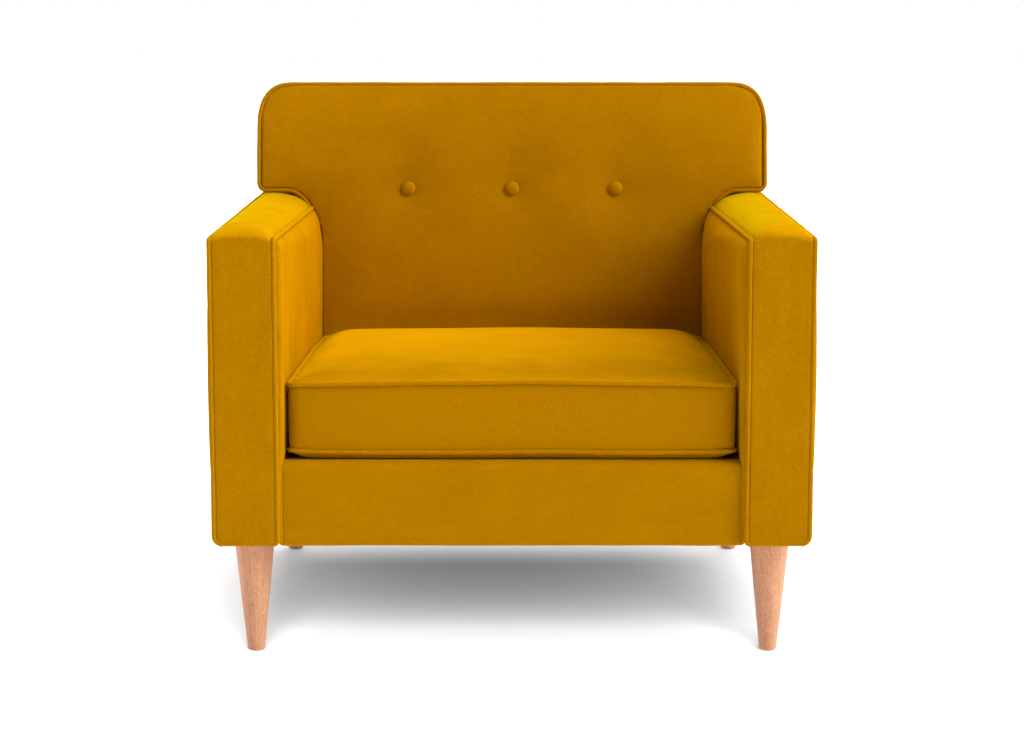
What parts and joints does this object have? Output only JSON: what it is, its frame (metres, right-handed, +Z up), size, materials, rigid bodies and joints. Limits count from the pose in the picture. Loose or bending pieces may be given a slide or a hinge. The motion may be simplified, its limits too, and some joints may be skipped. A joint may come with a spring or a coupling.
{
  "type": "upholstered armchair",
  "caption": "Wide upholstered armchair with box arms, a T-shaped buttoned back, a loose seat cushion with a zip, and turned tapered wooden legs.",
  "frame": {"origin": "on the floor, under the middle of the chair", "axes": "+X to the right of someone facing the chair's front, +Y to the rear, +Z up; the arm fronts face -Y"},
  "size_m": [0.95, 0.8799, 0.8844],
  "materials": {
    "beech_leg": "satin",
    "frame_wood": "matte",
    "zinc_steel": "satin",
    "spring_steel": "satin",
    "glide": "matte",
    "black_cloth": "matte",
    "webbing": "matte",
    "foam": "matte",
    "deck_cloth": "matte",
    "zip": "matte",
    "zip_metal": "satin",
    "velvet": "matte",
    "velvet_welt": "matte",
    "velvet_button": "matte"
  },
  "bodies": {
    "frame": {"front_rail": "frame_wood", "spring_rail": "frame_wood", "rear_rail": "frame_wood", "left_side_rail": "frame_wood", "right_side_rail": "frame_wood", "leg_blocks": "frame_wood", "corner_braces": "frame_wood", "left_arm_front_post": "frame_wood", "right_arm_front_post": "frame_wood", "left_arm_rear_post": "frame_wood", "right_arm_rear_post": "frame_wood", "left_arm_top_rail": "frame_wood", "right_arm_top_rail": "frame_wood", "left_back_stile": "frame_wood", "right_back_stile": "frame_wood", "back_top_rail": "frame_wood", "back_lower_rail": "frame_wood", "button_rail": "frame_wood", "rear_top_rail": "frame_wood", "left_wing_block": "frame_wood", "right_wing_block": "frame_wood", "frame_screws": "zinc_steel", "seat_springs": "spring_steel", "spring_clips": "spring_steel", "spring_ties": "spring_steel", "back_webbing": "webbing", "deck_pad": "foam", "deck_cloth": "deck_cloth", "left_arm_inner_pad": "velvet", "right_arm_inner_pad": "velvet", "left_arm_outer_panel": "velvet", "right_arm_outer_panel": "velvet", "left_arm_band": "velvet", "right_arm_band": "velvet", "left_arm_welts": "velvet_welt", "right_arm_welts": "velvet_welt", "front_rail_cover": "velvet", "back_pad": "velvet", "back_boxing": "velvet", "back_welt": "velvet_welt", "outside_back": "velvet", "back_buttons": "velvet_button", "button_ties": "webbing", "dust_cover": "black_cloth", "leg_front_left": "beech_leg", "leg_front_right": "beech_leg", "leg_rear_left": "beech_leg", "leg_rear_right": "beech_leg", "leg_bolts": "zinc_steel", "leg_plates": "zinc_steel", "leg_glides": "glide"},
    "cushion": {"cushion_core": "foam", "cushion_cover": "velvet", "cushion_welts": "velvet_welt", "cushion_zip": "zip"},
    "slider": {"zip_slider": "zip_metal"}
  },
  "joints": [
    {"name": "cushion_lift", "type": "slide", "parent": "frame", "child": "cushion", "axis": [0, 0, 1], "range_m": [0, 0.4]},
    {"name": "zip_slide", "type": "slide", "parent": "cushion", "child": "slider", "axis": [1, 0, 0], "range_m": [0, 0.52]}
  ]
}
